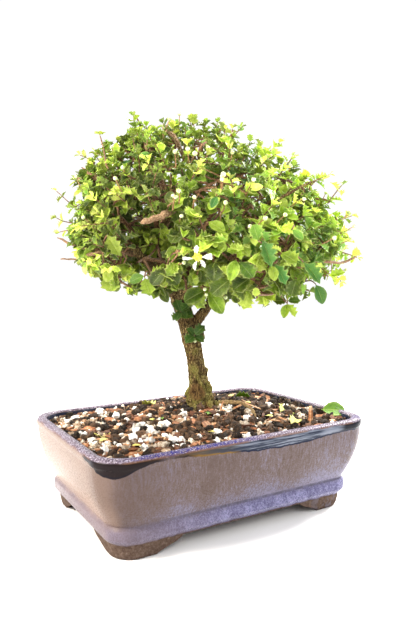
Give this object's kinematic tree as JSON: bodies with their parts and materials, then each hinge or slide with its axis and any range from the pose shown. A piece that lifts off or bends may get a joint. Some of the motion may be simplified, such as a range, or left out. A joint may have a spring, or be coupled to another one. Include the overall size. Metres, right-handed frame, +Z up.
{
  "type": "potted bonsai tree",
  "caption": "Small bonsai tree with a leaning trunk, a dense dome of spiny leaves, and a glazed oblong pot on corner feet.",
  "frame": {"origin": "on the surface that the pot's feet stand on, under the middle of the whole outline", "axes": "+Z up along the tree, +X along the pot's long side, -Y towards the pot's long side with the larger gap to the trunk"},
  "size_m": [0.2256, 0.2012, 0.29],
  "materials": {
    "blue_brown_glaze": "satin",
    "potting_grit": "matte",
    "black_screen_plastic": "matte",
    "ridged_bark": "matte",
    "holly_leaf": "satin",
    "white_petal": "satin",
    "yellow_stamens": "matte",
    "fallen_leaf": "satin"
  },
  "bodies": {
    "root": {"pot": "blue_brown_glaze", "soil": "potting_grit", "drain_screen_left": "black_screen_plastic", "drain_screen_right": "black_screen_plastic", "trunk_and_limbs": "ridged_bark", "spray_top_left": "holly_leaf", "spray_top_right": "holly_leaf", "spray_mid_left": "holly_leaf", "spray_mid_front_left": "holly_leaf", "spray_mid_front_right": "holly_leaf", "spray_mid_right": "holly_leaf", "spray_mid_back_right": "holly_leaf", "spray_mid_back_left": "holly_leaf", "spray_low_left": "holly_leaf", "spray_low_front_left": "holly_leaf", "spray_low_front": "holly_leaf", "spray_low_front_right": "holly_leaf", "spray_low_right": "holly_leaf", "spray_low_back_right": "holly_leaf", "spray_low_back": "holly_leaf", "spray_low_back_left": "holly_leaf", "flower_petals": "white_petal", "flower_heart": "yellow_stamens", "sprout_low": "holly_leaf", "sprout_high": "holly_leaf", "fallen_leaf_1": "fallen_leaf", "fallen_leaf_2": "fallen_leaf", "fallen_leaf_3": "fallen_leaf", "fallen_leaf_4": "fallen_leaf", "fallen_leaf_5": "fallen_leaf", "fallen_leaf_6": "fallen_leaf"}
  },
  "joints": []
}
